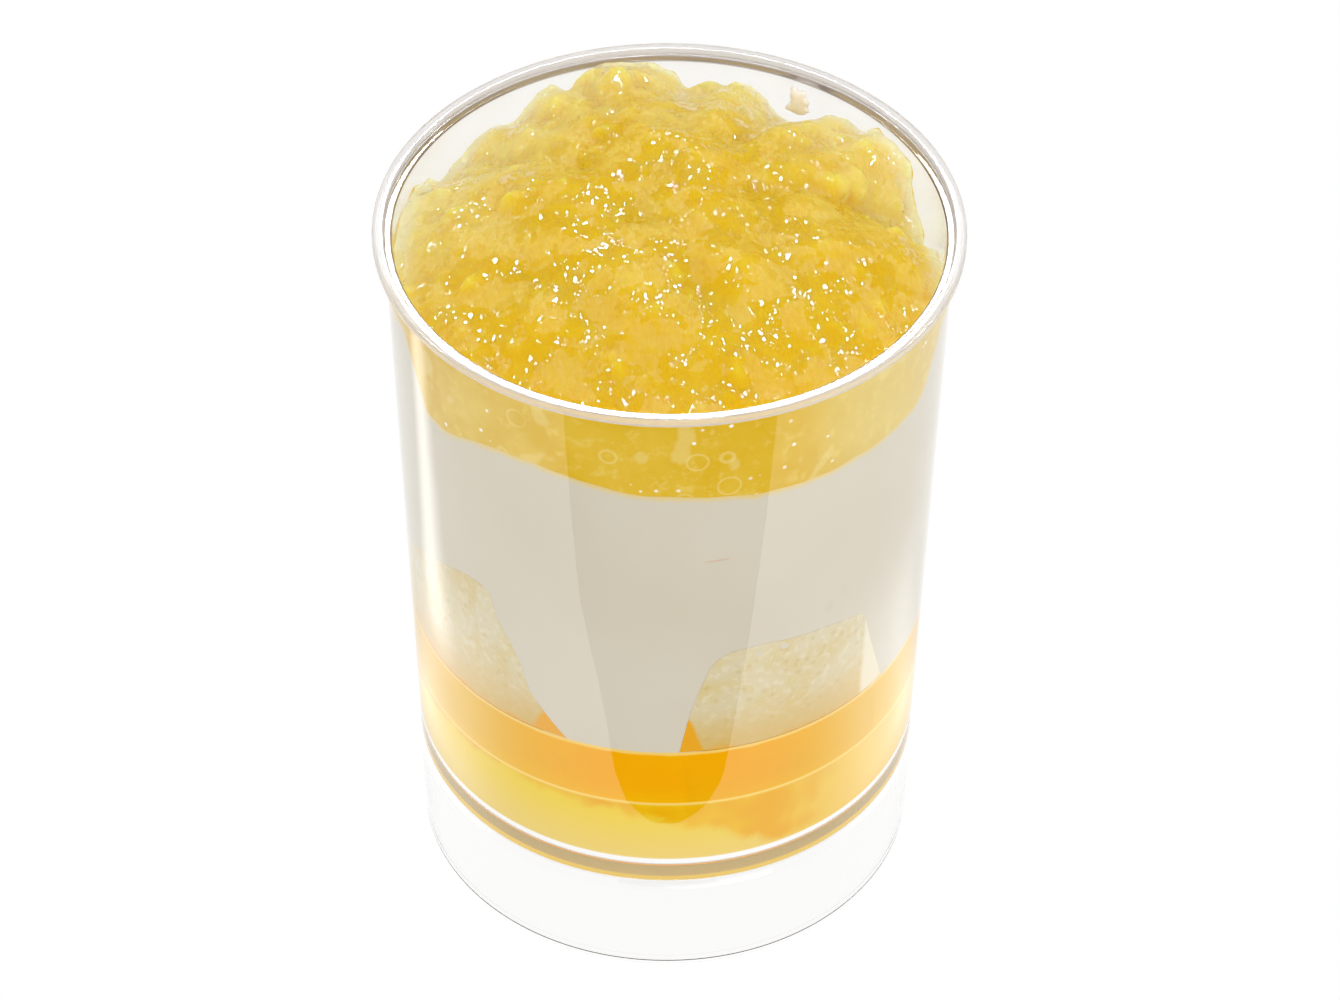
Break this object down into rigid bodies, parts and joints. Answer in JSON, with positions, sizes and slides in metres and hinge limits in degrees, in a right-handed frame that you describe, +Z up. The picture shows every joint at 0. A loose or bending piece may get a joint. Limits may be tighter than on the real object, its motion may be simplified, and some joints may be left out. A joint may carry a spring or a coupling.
{
  "type": "verrine",
  "caption": "Layered citrus dessert in a clear tapered tumbler: jelly layers, sponge cake, milk pudding and a heap of crushed jelly.",
  "frame": {"origin": "on the tumbler's axis, at the height of the foot's lower edge, where it stands", "axes": "+Z up along the tumbler's axis; -Y is the side that the picture looks at, with two pieces of sponge at the wall; +X to that viewer's right"},
  "size_m": [0.066, 0.066, 0.0961],
  "materials": {
    "clear_plastic": "clear, polished",
    "yellow_jelly": "set jelly, translucent, wet",
    "orange_jelly": "set jelly, translucent, wet",
    "sponge_cake": "porous, soft",
    "milk_pudding": "smooth, satin",
    "crushed_jelly": "crushed jelly, translucent, wet"
  },
  "bodies": {
    "root": {"tumbler": "clear_plastic", "yellow_jelly": "yellow_jelly", "orange_jelly": "orange_jelly", "sponge_right": "sponge_cake", "sponge_left": "sponge_cake", "sponge_back": "sponge_cake", "milk_pudding": "milk_pudding", "crushed_jelly": "crushed_jelly"}
  },
  "joints": []
}
